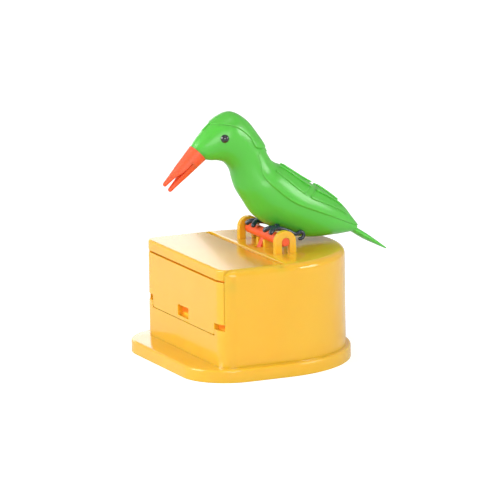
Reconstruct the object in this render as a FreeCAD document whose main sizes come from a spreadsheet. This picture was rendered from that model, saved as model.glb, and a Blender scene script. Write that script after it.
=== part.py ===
"""Toothpick dispenser: a box on a base plate, with a bird that rocks on a perch and picks at the front window.

Frame: the origin is the middle of the base plate's underside. +Z is up, the bird's beak points to -Y, and X runs
along the perch. Lengths are millimetres and angles are degrees.

The box holds toothpicks that lie along X. They slide down the hopper to a rest behind the front door. The bird, its
feet and the perch are one rocking body on two arched ears. A lever under the perch leans on a return spring.
"""
import FreeCAD, Part

import math
import os
import re

import Sketcher
from FreeCAD import Matrix, Placement, Rotation, Vector

SIZES = {
    # base plate, whose rear half is a semicircle as wide as the plate
    "base_width": 76.0,
    "base_depth": 71.0,
    "base_thickness": 4.6,
    "base_corner_radius": 17.0,
    "base_edge_radius": 0.8,
    "rim_height": 2.2,
    "rim_thickness": 1.2,
    "rim_gap": 0.15,
    # box shell, standing on the base plate
    "box_width": 69.0,
    "box_height": 34.8,
    "box_front_inset": 9.5,
    "box_rear_inset": 1.5,
    "box_wall": 1.9,
    "box_corner_radius": 6.0,
    "box_inner_corner_radius": 2.5,
    "box_edge_radius": 2.5,
    "deck_thickness": 1.8,
    # front opening, from the sill and its shoulders up to the deck
    "sill_height": 10.6,
    "shoulder_height": 13.0,
    "side_gap": 0.25,
    # top flap and its front lip
    "flap_length": 24.9,
    "flap_thickness": 1.8,
    "lip_depth": 3.8,
    "lip_thickness": 1.8,
    "lip_edge_radius": 0.8,
    "knuckle_radius": 1.9,
    "knuckle_gap": 0.3,
    "flap_pin_radius": 1.2,
    # front door with its tongue and window
    "door_thickness": 2.0,
    "door_top_gap": 0.7,
    "door_bottom_gap": 0.2,
    "tongue_width": 53.4,
    "tongue_corner_radius": 1.5,
    "notch_height": 2.2,
    "window_width": 9.2,
    "window_height": 3.9,
    "window_rise": 12.1,
    "door_arm_thickness": 1.8,
    "door_arm_radius": 1.5,
    "door_arm_reach": 4.6,
    "door_pin_radius": 1.0,
    "pin_length": 1.2,
    "pin_end_gap": 0.2,
    "running_gap": 0.05,
    # hopper: a slope that ends in a rest for one toothpick, and a rear wall
    "hopper_width": 62.4,
    "hopper_thickness": 1.4,
    "hopper_slope_rise": 8.0,
    "hopper_rear_height": 30.4,
    "hopper_front_gap": 0.3,
    "rest_height": 12.9,
    "rest_depth": 2.2,
    # perch: two arched ears on the deck, the bar between them and two saddles under it
    "perch_setback": 32.9,
    "perch_rise": 4.1,
    "ear_span": 32.8,
    "ear_thickness": 2.0,
    "ear_radius": 4.0,
    "bar_radius": 2.0,
    "bar_end_gap": 0.2,
    "perch_pin_radius": 1.5,
    "saddle_spacing": 5.6,
    "saddle_width": 1.4,
    "saddle_front": 2.4,
    "saddle_back": 1.9,
    "saddle_height": 2.7,
    # lever under the bar, its slot in the deck, and the return spring behind it
    "lever_length": 11.5,
    "lever_lean": 25.0,
    "lever_width": 2.6,
    "lever_thickness": 2.2,
    "lever_tip_radius": 1.6,
    "slot_side_gap": 0.4,
    "slot_front": 4.8,
    "slot_back": 5.6,
    "spring_radius": 2.2,
    "spring_wire_radius": 0.3,
    "spring_end_gap": 0.1,
    "stop_rib_setback": 46.5,
    "stop_rib_thickness": 1.6,
    "stop_rib_width": 8.0,
    "stop_rib_drop": 9.6,
    "spigot_radius": 1.5,
    "spigot_length": 3.0,
    # screws that hold the shell to the base plate
    "screw_radius": 1.2,
    "screw_length": 9.0,
    "screw_head_radius": 2.4,
    "screw_head_height": 1.6,
    "screw_head_recess": 2.0,
    "screw_hole_gap": 0.2,
    "boss_radius": 3.0,
    "side_screw_spacing": 52.0,
    "side_screw_setback": 33.5,
    "rear_screw_setback": 53.5,
    # bird: length from the beak's seat to the rump, height from the perch's axis to the crown
    "bird_length": 64.5,
    "bird_height": 45.5,
    "bird_width": 21.0,
    "bird_ahead": 28.9,
    "cap_step": 0.45,
    "beak_length": 17.2,
    "beak_root_radius": 3.65,
    "beak_tip_radius": 1.95,
    "beak_tip_rounding": 0.6,
    "beak_slit_width": 0.35,
    "beak_fork_gap": 1.1,
    "eye_radius": 1.6,
    "eye_spacing": 11.6,
    # feet: two splayed front toes that arch over the bar, a leg, and a hind toe that ends in a hooked claw
    "foot_spacing": 15.0,
    "toe_radius": 0.7,
    "toe_gap": 0.15,
    "toe_arch": 5.4,
    "toe_turn": 52.0,
    "toe_splay": 48.0,
    "foot_ball_radius": 1.3,
    "leg_radius": 1.0,
    "leg_length": 5.5,
    "leg_lean_back": 25.0,
    "leg_lean_in": 14.0,
    "hind_toe_radius": 0.75,
    "hind_toe_arch": 13.0,
    "hind_toe_start": 83.6,
    "hind_toe_wrap": 45.8,
    "claw_arch": 1.3,
    "claw_wrap": 230.0,
    "overrun": 1.0,
}

# derived places, written with the sizes above and with each other
PLACES = {
    "base_front": "-base_depth / 2",
    "base_round_y": "base_depth / 2 - base_width / 2",
    "box_front": "base_front + box_front_inset",
    "box_round_y": "base_depth / 2 - box_rear_inset - box_width / 2",
    "box_top": "base_thickness + box_height",
    "inner_half": "box_width / 2 - box_wall",
    "inner_front": "box_front + box_wall",
    "deck_under": "box_top - deck_thickness",
    "leaf_half": "inner_half - side_gap",
    "flap_rear": "box_front + flap_length",
    "flap_pin_y": "flap_rear - knuckle_radius",
    "flap_pin_z": "box_top - knuckle_radius",
    "lip_bottom": "box_top - lip_depth",
    "sill_z": "base_thickness + sill_height",
    "shoulder_z": "base_thickness + shoulder_height",
    "door_top": "lip_bottom - door_top_gap",
    "door_bottom": "sill_z + door_bottom_gap",
    "door_back": "box_front + door_thickness",
    "door_pin_y": "box_front + door_arm_reach",
    "door_pin_z": "door_top - door_arm_radius",
    "perch_y": "box_front + perch_setback",
    "perch_z": "box_top + perch_rise",
    "spring_z": "perch_z - lever_length * cos(lever_lean)",
    "lever_tip_y": "perch_y - lever_length * sin(lever_lean)",
    "stop_rib_y": "box_front + stop_rib_setback",
    "spring_outer": "spring_radius + spring_wire_radius",
    "lever_flank": "(spring_outer * sin(lever_lean) + lever_thickness / 2) / cos(lever_lean)",
    "spring_front": "lever_tip_y + lever_flank + spring_end_gap",
    "spring_back": "stop_rib_y - spring_end_gap",
}

# bird sections from the beak's seat to the rump: top point, bottom point and half width
# along Y as shares of bird_length from the beak's seat, along Z as shares of bird_height above the perch's axis
BIRD_SECTION_SHARES = [
    (0.005, 0.752, 0.080, 0.642, 0.160),
    (0.040, 0.815, 0.112, 0.632, 0.215),
    (0.099, 0.897, 0.155, 0.626, 0.275),
    (0.165, 0.965, 0.192, 0.608, 0.320),
    (0.245, 0.990, 0.222, 0.568, 0.335),
    (0.338, 0.905, 0.242, 0.515, 0.325),
    (0.411, 0.750, 0.252, 0.450, 0.325),
    (0.474, 0.587, 0.272, 0.375, 0.370),
    (0.545, 0.530, 0.310, 0.288, 0.430),
    (0.655, 0.425, 0.376, 0.155, 0.480),
    (0.772, 0.322, 0.492, 0.042, 0.480),
    (0.885, 0.195, 0.655, -0.045, 0.400),
    (0.955, 0.072, 0.830, -0.056, 0.240),
    (0.995, -0.002, 0.970, -0.046, 0.110),
]

# lower edge of the head cap, from the forehead to the nape, in the same shares
CAP_SEAM_SHARES = [
    (0.020, 0.872),
    (0.085, 0.912),
    (0.163, 0.916),
    (0.225, 0.895),
    (0.271, 0.855),
    (0.318, 0.791),
    (0.352, 0.714),
    (0.450, 0.690),
]

# edge of the back cover, from the nape along the wing to the rump, in the same shares
BACK_SEAM_SHARES = [
    (0.352, 0.714),
    (0.369, 0.582),
    (0.380, 0.488),
    (0.448, 0.378),
    (0.553, 0.259),
    (0.719, 0.158),
    (0.884, 0.059),
    (1.020, -0.020),
]

# tail blade: middle along Y and Z in the same shares, then half thickness and half width as shares of bird_width
TAIL_SECTION_SHARES = [
    (0.955, -0.015, 0.055, 0.110),
    (1.045, -0.098, 0.054, 0.145),
    (1.115, -0.160, 0.034, 0.110),
    (1.174, -0.212, 0.012, 0.042),
]

# head points: the eye, and the two ends of the beak's axis, in the same shares
EYE_SHARES = (0.165, 0.815)
BEAK_ROOT_SHARES = (0.042, 0.697)
BEAK_TIP_SHARES = (-0.150, 0.442)
BEAK_SLIT_START_SHARE = 0.28

# how far past the bird a cutting block reaches, and what counts as near
OUTSIDE_SHARE = 1.4
NEAR_SHARE = 1e-5

SCREW_PLACES = [
    ("side_screw_spacing / 2", "box_front + side_screw_setback"),
    ("-side_screw_spacing / 2", "box_front + side_screw_setback"),
    ("0", "box_front + rear_screw_setback"),
]


doc = FreeCAD.newDocument("ToothpickDispenser")
sheet = doc.addObject("Spreadsheet::Sheet", "Sizes")
cells = {}
parts = []


def sized(text):
    """The expression with each size's name pointed at the sheet."""
    return re.sub(r"[a-z_]+", lambda m: "Sizes." + m[0] if m[0] in cells else m[0], text)


def add_cell(name, content):
    """One row of the sheet: the name, and the value under an alias."""
    row = len(cells) + 1
    sheet.set(f"A{row}", name)
    sheet.set(f"B{row}", content)
    sheet.setAlias(f"B{row}", name)
    cells[name] = f"B{row}"


def fill_sheet():
    for name, value in SIZES.items():
        add_cell(name, str(value))
    for name, text in PLACES.items():
        formula = re.sub(r"(sin|cos)\((\w+)\)", r"\1(\2 * 1 deg)", text)
        add_cell(name, "=" + formula)
    doc.recompute()


def size(name):
    """A size's value, for shapes that the script works out itself."""
    return float(sheet.get(name))


def value(text):
    """The value of an expression of sizes."""
    return float(sheet.evalExpression(sized(text)))


def bind(thing, **expressions):
    for name, text in expressions.items():
        thing.setExpression(name.replace("__", "."), sized(text))


def place(thing, x="0", y="0", z="0"):
    bind(thing, Placement__Base__x=x, Placement__Base__y=y, Placement__Base__z=z)


def new_body(label):
    body = doc.addObject("PartDesign::Body", label)
    body.Label = label
    return body


def keep(thing, label):
    """List an object as a sub-part under its node's name."""
    thing.Label = label
    parts.append(thing)
    return thing


def sketch_on(body, name, plane, offset="0"):
    """An empty sketch on one of the body's own origin planes, moved along the plane's normal."""
    sketch = body.newObject("Sketcher::SketchObject", name)
    face = next(f for f in body.Origin.OriginFeatures if f.Role == plane)
    sketch.AttachmentSupport = [(face, "")]
    sketch.MapMode = "FlatFace"
    bind(sketch, AttachmentOffset__Base__z=offset)
    return sketch


def pin_point(sketch, index, end, point, only="xy"):
    """Fix a point of an edge (1 start, 2 end, 3 centre) at a place given as two expressions."""
    for letter, kind, text in zip("xy", ("DistanceX", "DistanceY"), point):
        if letter in only:
            row = sketch.addConstraint(Sketcher.Constraint(kind, index, end, value(text)))
            sketch.setExpression(f"Constraints[{row}]", sized(text))


def outline(body, name, plane, path, offset="0"):
    """A closed outline. A step of the path is its end point, and for an arc also the centre and the turn (1 or -1)."""
    sketch = sketch_on(body, name, plane, offset)
    ends = [tuple(value(t) for t in step[0]) for step in path]
    backward = [len(step) > 1 and step[2] < 0 for step in path]
    for i, step in enumerate(path):
        start, end = ends[i - 1], ends[i]
        if len(step) == 1:
            sketch.addGeometry(Part.LineSegment(Vector(*start, 0), Vector(*end, 0)), False)
            continue
        centre = tuple(value(t) for t in step[1])
        angles = [math.atan2(p[1] - centre[1], p[0] - centre[0]) for p in (start, end)]
        if backward[i]:
            angles.reverse()
        ring = Part.Circle(Vector(*centre, 0), Vector(0, 0, 1), math.dist(centre, start))
        sketch.addGeometry(Part.ArcOfCircle(ring, *angles), False)
    for i, step in enumerate(path):
        after = (i + 1) % len(path)
        tip = 1 if backward[i] else 2
        sketch.addConstraint(Sketcher.Constraint("Coincident", i, tip, after, 2 if backward[after] else 1))
        pin_point(sketch, i, tip, step[0])
        if len(step) > 1:
            level = abs(ends[i - 1][1] - ends[i][1]) < abs(ends[i - 1][0] - ends[i][0])
            pin_point(sketch, i, 3, step[1], only="y" if level else "x")
    return sketch


def rectangle(body, name, plane, left, right, low, high, offset="0"):
    corners = [((left, low),), ((right, low),), ((right, high),), ((left, high),)]
    return outline(body, name, plane, corners, offset)


def circle(body, name, plane, x, y, radius, offset="0"):
    sketch = sketch_on(body, name, plane, offset)
    ring = Part.Circle(Vector(value(x), value(y), 0), Vector(0, 0, 1), value(radius))
    sketch.addGeometry(ring, False)
    pin_point(sketch, 0, 3, (x, y))
    row = sketch.addConstraint(Sketcher.Constraint("Radius", 0, value(radius)))
    sketch.setExpression(f"Constraints[{row}]", sized(radius))
    return sketch


def add_feature(kind, sketch, length, reverse=False, midplane=False):
    body = sketch.getParentGeoFeatureGroup()
    feature = body.newObject(f"PartDesign::{kind}", kind)
    feature.Profile = sketch
    feature.Reversed = reverse
    feature.Midplane = midplane
    bind(feature, Length=length)
    body.Tip = feature
    doc.recompute()
    return feature


def pad(sketch, length, **options):
    return add_feature("Pad", sketch, length, **options)


def pocket(sketch, length, **options):
    """A pocket, which cuts against its plane's normal unless it is reversed, and has to cut something."""
    before = sketch.getParentGeoFeatureGroup().Shape.Volume
    feature = add_feature("Pocket", sketch, length, **options)
    assert feature.Shape.Volume < before, f"{sketch.Label} cuts nothing"
    return feature


def revolve(sketch, axis):
    """A full turn of the sketch about one of its own axes, H_Axis or V_Axis."""
    body = sketch.getParentGeoFeatureGroup()
    feature = body.newObject("PartDesign::Revolution", "Revolution")
    feature.Profile = sketch
    feature.ReferenceAxis = (sketch, [axis])
    feature.Angle = 360
    body.Tip = feature
    doc.recompute()
    return feature


def round_edges(body, radius, wanted):
    """Fillet the edges of the body for which wanted(edge) holds."""
    base = body.Tip
    names = [f"Edge{i}" for i, edge in enumerate(base.Shape.Edges, 1) if wanted(edge)]
    feature = body.newObject("PartDesign::Fillet", "Fillet")
    feature.Base = (base, names)
    bind(feature, Radius=radius)
    body.Tip = feature
    doc.recompute()
    return feature


def lies_at(edge, **limits):
    """Whether an edge lies wholly at the given height or place, such as z=4.6."""
    box = edge.BoundBox
    near = lambda a, b: abs(a - b) < NEAR_SHARE * size("base_width")
    return all(
        near(getattr(box, k.upper() + "Min"), v) and near(getattr(box, k.upper() + "Max"), v)
        for k, v in limits.items()
    )


def u_outline(body, name, half, front, round_y, corner, offset="0"):
    """A plan with a straight front, two rounded front corners, straight sides and a half-round rear."""
    return outline(body, name, "XY_Plane", [
        ((f"{half} - {corner}", front),),
        ((half, f"{front} + {corner}"), (f"{half} - {corner}", f"{front} + {corner}"), 1),
        ((half, round_y),),
        ((f"-({half})", round_y), ("0", round_y), 1),
        ((f"-({half})", f"{front} + {corner}"),),
        ((f"-({half}) + {corner}", front), (f"-({half}) + {corner}", f"{front} + {corner}"), 1),
    ], offset)


def make(kind, label, **expressions):
    thing = doc.addObject(f"Part::{kind}", label)
    bind(thing, **expressions)
    return thing


def fuse(label, *shapes):
    thing = doc.addObject("Part::MultiFuse", label)
    thing.Shapes = list(shapes)
    return thing


def common(label, *shapes):
    thing = doc.addObject("Part::MultiCommon", label)
    thing.Shapes = list(shapes)
    return thing


def cut(label, base, tool):
    thing = doc.addObject("Part::Cut", label)
    thing.Base = base
    thing.Tool = tool
    return thing


def shape_of(label, shape):
    thing = doc.addObject("Part::Feature", label)
    thing.Shape = shape
    return thing


def make_base_plate():
    """The plate under the box, with a rim that locates the shell and three counterbored screw holes."""
    body = new_body("BasePlate")
    plan = u_outline(body, "PlatePlan", "base_width / 2", "base_front", "base_round_y", "base_corner_radius")
    pad(plan, "base_thickness")
    top = size("base_thickness")
    round_edges(body, "base_edge_radius", lambda e: lies_at(e, z=top))
    rim = "inner_half - rim_gap"
    inner = "inner_half - rim_gap - rim_thickness"
    front = "inner_front + rim_gap"
    pad(
        u_outline(
            body, "RimPlan", rim, front, "box_round_y", "(box_inner_corner_radius - rim_gap)", "base_thickness",
        ),
        "rim_height",
    )
    pocket(
        u_outline(
            body, "RimInside", inner, front + " + rim_thickness", "box_round_y",
            "(box_inner_corner_radius - rim_thickness)", "base_thickness + rim_height",
        ),
        "rim_height",
    )
    for x, y in SCREW_PLACES:
        pocket(circle(body, "ScrewHole", "XY_Plane", x, y, "screw_radius + screw_hole_gap"),
               "base_thickness + overrun", reverse=True)
        pocket(circle(body, "HeadRecess", "XY_Plane", x, y, "screw_head_radius + screw_hole_gap"),
               "screw_head_recess", reverse=True)
    return keep(body, "base_plate")


def make_base_screws():
    """Three pan-head screws from below, each its own solid."""
    screws = []
    for x, y in SCREW_PLACES:
        head = make("Cylinder", "ScrewHead", Radius="screw_head_radius", Height="screw_head_height")
        place(head, x, y, "screw_head_recess - screw_head_height")
        shank = make("Cylinder", "ScrewShank", Radius="screw_radius", Height="screw_length")
        place(shank, x, y, "screw_head_recess")
        screws.append(fuse("Screw", head, shank))
    group = doc.addObject("Part::Compound", "Screws")
    group.Links = screws
    return keep(group, "base_screws")


def make_box_shell():
    """Walls and deck in one moulding, open in front and over the hopper, with the perch's ears on the deck."""
    body = new_body("BoxShell")
    half = "box_width / 2"
    pad(
        u_outline(body, "ShellPlan", half, "box_front", "box_round_y", "box_corner_radius", "base_thickness"),
        "box_height",
    )
    top = size("box_top")
    round_edges(body, "box_edge_radius", lambda e: lies_at(e, z=top))
    pocket(
        u_outline(
            body, "ShellInside", "inner_half", "inner_front", "box_round_y",
            "box_inner_corner_radius", "base_thickness",
        ),
        "box_height - deck_thickness",
        reverse=True,
    )
    pocket(
        rectangle(body, "HopperMouth", "XY_Plane", "-inner_half", "inner_half", "box_front - overrun",
                  "flap_rear + knuckle_gap", "box_top + overrun"),
        "deck_thickness + 2 * overrun",
    )
    tongue = "(tongue_width / 2 + side_gap)"
    above = "box_top + overrun"
    pocket(
        outline(body, "FrontOpening", "XZ_Plane", [
            (("-inner_half", above),), (("-inner_half", "shoulder_z"),),
            ((f"-{tongue}", "shoulder_z"),), ((f"-{tongue}", "sill_z"),),
            ((tongue, "sill_z"),), ((tongue, "shoulder_z"),),
            (("inner_half", "shoulder_z"),), (("inner_half", above),),
        ], "-(box_front - overrun)"),
        "box_corner_radius + overrun",
    )
    for side in ("", "-"):
        reverse = side == ""
        start = f"{side}(inner_half - overrun)"
        depth = "pin_length - side_gap + pin_end_gap + overrun"
        for y, z, radius in (
            ("flap_pin_y", "flap_pin_z", "flap_pin_radius"),
            ("door_pin_y", "door_pin_z", "door_pin_radius"),
        ):
            hole = circle(body, "PinHole", "YZ_Plane", y, z, f"{radius} + running_gap", start)
            pocket(hole, depth, reverse=reverse)
        ear = outline(body, "Ear", "YZ_Plane", [
            (("perch_y + ear_radius", "box_top"),),
            (("perch_y + ear_radius", "perch_z"),),
            (("perch_y - ear_radius", "perch_z"), ("perch_y", "perch_z"), 1),
            (("perch_y - ear_radius", "box_top"),),
        ], f"{side}ear_span / 2")
        pad(ear, "ear_thickness", reverse=side == "")
        arch = "(perch_pin_radius + running_gap)"
        slot = outline(body, "EarArch", "YZ_Plane", [
            ((f"perch_y + {arch}", "box_top"),),
            ((f"perch_y + {arch}", "perch_z"),),
            ((f"perch_y - {arch}", "perch_z"), ("perch_y", "perch_z"), 1),
            ((f"perch_y - {arch}", "box_top"),),
        ], f"{side}(ear_span / 2 + overrun)")
        pocket(slot, "ear_thickness + 2 * overrun", reverse=side == "-")
    for side in ("", "-"):
        middle = f"{side}saddle_spacing / 2"
        block = rectangle(body, "Saddle", "XY_Plane", f"{middle} - saddle_width / 2",
                          f"{middle} + saddle_width / 2", "perch_y - saddle_front",
                          "perch_y + saddle_back", "box_top")
        pad(block, "saddle_height")
    seat = circle(body, "SaddleSeat", "YZ_Plane", "perch_y", "perch_z", "bar_radius + running_gap")
    pocket(seat, "saddle_spacing + 2 * saddle_width", midplane=True)
    slot_half = "lever_width / 2 + slot_side_gap"
    pocket(
        rectangle(body, "LeverSlot", "XY_Plane", f"-({slot_half})", slot_half, "perch_y - slot_front",
                  "perch_y + slot_back", "box_top + overrun"),
        "deck_thickness + 2 * overrun",
    )
    rib = rectangle(body, "StopRib", "XY_Plane", "-stop_rib_width / 2", "stop_rib_width / 2", "stop_rib_y",
                    "stop_rib_y + stop_rib_thickness", "deck_under - stop_rib_drop")
    pad(rib, "stop_rib_drop")
    spigot = circle(body, "SpringSpigot", "XZ_Plane", "0", "spring_z", "spigot_radius", "-stop_rib_y")
    pad(spigot, "spigot_length")
    for x, y in SCREW_PLACES:
        post = circle(body, "ScrewPost", "XY_Plane", x, y, "boss_radius", "base_thickness")
        pad(post, "box_height - deck_thickness")
        core = circle(body, "ScrewCore", "XY_Plane", x, y, "screw_radius", "base_thickness")
        pocket(core, "screw_length", reverse=True)
    return keep(body, "box_shell")


def front_leaf(body, name, back, offset):
    """Plan of a leaf that fills the front opening: its face follows the shell's front and rounded corners."""
    centre_x = "(box_width / 2 - box_corner_radius)"
    centre_y = "box_front + box_corner_radius"
    edge_y = f"{centre_y} - sqrt(box_corner_radius ^ 2 - (leaf_half - {centre_x}) ^ 2)"
    return outline(body, name, "XY_Plane", [
        ((centre_x, "box_front"),),
        (("leaf_half", edge_y), (centre_x, centre_y), 1),
        (("leaf_half", back),),
        (("-leaf_half", back),),
        (("-leaf_half", edge_y),),
        ((f"-{centre_x}", "box_front"), (f"-{centre_x}", centre_y), 1),
    ], offset)


def make_top_flap():
    """The lid over the hopper: a plate with a front lip and a rear knuckle that carries two stub pins."""
    body = new_body("TopFlap")
    pad(front_leaf(body, "FlapPlan", "flap_pin_y", "box_top - flap_thickness"), "flap_thickness")
    lip = front_leaf(body, "LipPlan", "box_front + lip_thickness", "lip_bottom")
    pad(lip, "lip_depth - flap_thickness")
    top, rear = size("box_top"), size("door_back")
    round_edges(body, "lip_edge_radius", lambda e: lies_at(e, z=top) and e.BoundBox.YMax < rear)
    knuckle = circle(body, "Knuckle", "YZ_Plane", "flap_pin_y", "flap_pin_z", "knuckle_radius")
    pad(knuckle, "2 * leaf_half", midplane=True)
    pin = circle(body, "FlapPin", "YZ_Plane", "flap_pin_y", "flap_pin_z", "flap_pin_radius")
    pad(pin, "2 * (leaf_half + pin_length)", midplane=True)
    return keep(body, "top_flap")


def make_front_door():
    """The front door: it hangs on two stub pins, and has a window and a tongue between two notches."""
    body = new_body("FrontDoor")
    leaf = front_leaf(body, "DoorPlan", "door_back", "door_bottom")
    pad(leaf, "door_top - door_bottom")
    notch_top = "shoulder_z + notch_height"
    for side in (1, -1):
        inner, outer = f"{side} * tongue_width / 2", f"{side} * (leaf_half + overrun)"
        left, right = (inner, outer) if side > 0 else (outer, inner)
        notch = rectangle(body, "Notch", "XZ_Plane", left, right, "door_bottom - overrun", notch_top,
                          "-(box_front - overrun)")
        pocket(notch, "box_corner_radius + overrun")
    low, half = size("door_bottom"), size("tongue_width") / 2
    round_edges(
        body, "tongue_corner_radius", lambda e: lies_at(e, x=half, z=low) or lies_at(e, x=-half, z=low)
    )
    window_z = "base_thickness + window_rise"
    window = rectangle(body, "Window", "XZ_Plane", "-window_width / 2", "window_width / 2", window_z,
                       window_z + " + window_height", "-(box_front - overrun)")
    pocket(window, "door_thickness + 2 * overrun")
    for side in ("", "-"):
        arm = outline(body, "DoorArm", "YZ_Plane", [
            (("door_pin_y", "door_pin_z - door_arm_radius"),),
            (("door_pin_y", "door_pin_z + door_arm_radius"), ("door_pin_y", "door_pin_z"), 1),
            (("door_back", "door_pin_z + door_arm_radius"),),
            (("door_back", "door_pin_z - door_arm_radius"),),
        ], f"{side}leaf_half")
        pad(arm, "door_arm_thickness", reverse=side == "")
        pin = circle(body, "DoorPin", "YZ_Plane", "door_pin_y", "door_pin_z", "door_pin_radius",
                     f"{side}(leaf_half - door_arm_thickness)")
        pad(pin, "door_arm_thickness + pin_length", reverse=side == "-")
    return keep(body, "front_door")


def make_hopper():
    """The slope that toothpicks roll down, its rest behind the door, its rear wall and its legs."""
    body = new_body("Hopper")
    front = "(inner_front + hopper_front_gap)"
    leg = "(inner_front + rim_gap + rim_thickness + box_inner_corner_radius)"
    rear = "(flap_rear - knuckle_radius)"
    base = "base_thickness"
    rest = "(base_thickness + rest_height)"
    wall = "hopper_thickness"
    pad(
        outline(body, "HopperSide", "YZ_Plane", [
            ((leg, base),),
            ((f"{leg} + {wall}", base),),
            ((f"{leg} + {wall}", f"{rest} - {wall}"),),
            ((f"{rear} - {wall}", f"{rest} + hopper_slope_rise - {wall}"),),
            ((f"{rear} - {wall}", base),),
            ((rear, base),),
            ((rear, f"{base} + hopper_rear_height"),),
            ((f"{rear} - {wall}", f"{base} + hopper_rear_height"),),
            ((f"{rear} - {wall}", f"{rest} + hopper_slope_rise"),),
            ((f"{front} + rest_depth", rest),),
            ((front, rest),),
            ((front, f"{rest} - {wall}"),),
            ((leg, f"{rest} - {wall}"),),
        ]),
        "hopper_width",
        midplane=True,
    )
    return keep(body, "hopper")


def make_perch_bar():
    """The bar in the ears, with a pin at each end and the lever that reaches through the deck."""
    body = new_body("PerchBar")
    place(body, y="perch_y", z="perch_z")
    bar = "(ear_span / 2 - ear_thickness - bar_end_gap)"
    end = "ear_span / 2"
    profile = outline(body, "BarProfile", "XZ_Plane", [
        ((f"-{end}", "0"),), ((end, "0"),), ((end, "perch_pin_radius"),), ((bar, "perch_pin_radius"),),
        ((bar, "bar_radius"),), ((f"-{bar}", "bar_radius"),), ((f"-{bar}", "perch_pin_radius"),),
        ((f"-{end}", "perch_pin_radius"),),
    ])
    revolve(profile, "H_Axis")
    lean = "lever_lean * 1 deg"
    across = ("lever_thickness / 2 * cos({0})".format(lean), "lever_thickness / 2 * sin({0})".format(lean))
    tip = (f"lever_length * sin({lean})", f"lever_length * cos({lean})")
    lever = outline(body, "Lever", "YZ_Plane", [
        ((across[0], f"-{across[1]}"),),
        ((f"-{tip[0]} + {across[0]}", f"-{tip[1]} - {across[1]}"),),
        ((f"-{tip[0]} - {across[0]}", f"-{tip[1]} + {across[1]}"),),
        ((f"-{across[0]}", across[1]),),
    ])
    pad(lever, "lever_width", midplane=True)
    pad(circle(body, "LeverTip", "YZ_Plane", f"-{tip[0]}", f"-{tip[1]}", "lever_tip_radius"),
        "lever_width", midplane=True)
    return keep(body, "perch_bar")


def make_return_spring():
    """The closed-in return spring between the lever's tip and the rib, as the plain tube that it fills."""
    length = "spring_back - spring_front"
    outer = make("Cylinder", "SpringOutside", Radius="spring_outer", Height=length)
    inner = make("Cylinder", "SpringInside", Radius="spring_radius - spring_wire_radius", Height=length)
    for tube in (outer, inner):
        tube.Placement.Rotation = Rotation(Vector(1, 0, 0), -90)
        place(tube, "0", "spring_front", "spring_z")
    return keep(cut("ReturnSpring", outer, inner), "return_spring")


def bird_point(share_y, share_z):
    """A point in the bird's middle plane."""
    y = size("perch_y") - size("bird_ahead") + share_y * size("bird_length")
    return Vector(0, y, size("perch_z") + share_z * size("bird_height"))


def ring(middle, up, half_width):
    """An ellipse about a middle point, reaching from it by the vector up and by half_width along X."""
    side = Vector(half_width, 0, 0)
    ahead = up.cross(side).normalize()
    frame = Matrix(
        -up.x, side.x, ahead.x, middle.x, -up.y, side.y, ahead.y, middle.y,
        -up.z, side.z, ahead.z, middle.z, 0, 0, 0, 1,
    )
    return Part.Wire(Part.makeCircle(1)).transformGeometry(frame)


def smooth_loft(rings):
    """A solid loft of low degree, which doesn't swing out between its sections."""
    solid, ruled, closed, degree = True, False, False, 2
    return Part.makeLoft(rings, solid, ruled, closed, degree)


def bird_form(growth):
    """The bird's whole form from the beak's seat to the rump, with its skin moved out by the growth."""
    rings = []
    for top_y, top_z, low_y, low_z, width_share in BIRD_SECTION_SHARES:
        top, low = bird_point(top_y, top_z), bird_point(low_y, low_z)
        up = (top - low) / 2
        up = up * ((up.Length + growth) / up.Length)
        rings.append(ring((top + low) / 2, up, width_share * size("bird_width") + growth))
    return smooth_loft(rings)


def region(seam_shares):
    """Everything on the upper and rear side of a seam, as a block across the bird."""
    points = [bird_point(y, z) for y, z in seam_shares]
    seam = Part.BSplineCurve()
    seam.interpolate(points)
    far = bird_point(seam_shares[-1][0] + OUTSIDE_SHARE, seam_shares[-1][1])
    corner = bird_point(seam_shares[-1][0] + OUTSIDE_SHARE, OUTSIDE_SHARE)
    near = bird_point(seam_shares[0][0], OUTSIDE_SHARE)
    rest = Part.makePolygon([points[-1], far, corner, near, points[0]])
    face = Part.Face(Part.Wire([seam.toShape()] + rest.Edges))
    width = Vector(2 * size("bird_width"), 0, 0)
    return face.extrude(width).translated(width / -2)


def make_toe(x, step):
    """A front toe: an arched tube that leads from the top of the bar down its front, with a rounded tip."""
    top = "(bar_radius + toe_radius + toe_gap)"
    toe = make("Torus", "Toe", Radius1="toe_arch", Radius2="toe_radius", Angle3="toe_turn")
    forward = Rotation(Vector(0, -1, 0), Vector(0, 0, 1), Vector(-1, 0, 0), "XYZ")
    splay = Rotation(Vector(0, 0, 1), step * size("toe_splay"))
    toe.Placement.Rotation = splay * Rotation(Vector(1, 0, 0), size("toe_turn") - 90) * forward
    place(toe, x, "perch_y", f"perch_z + {top} - toe_arch")
    tip = make("Sphere", "ToeTip", Radius="toe_radius")
    ahead = "toe_arch * sin(toe_turn * 1 deg)"
    place(tip, f"{x} + {step} * {ahead} * sin(toe_splay * 1 deg)",
          f"perch_y - {ahead} * cos(toe_splay * 1 deg)",
          f"perch_z + {top} - toe_arch * (1 - cos(toe_turn * 1 deg))")
    return [toe, tip]


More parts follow.
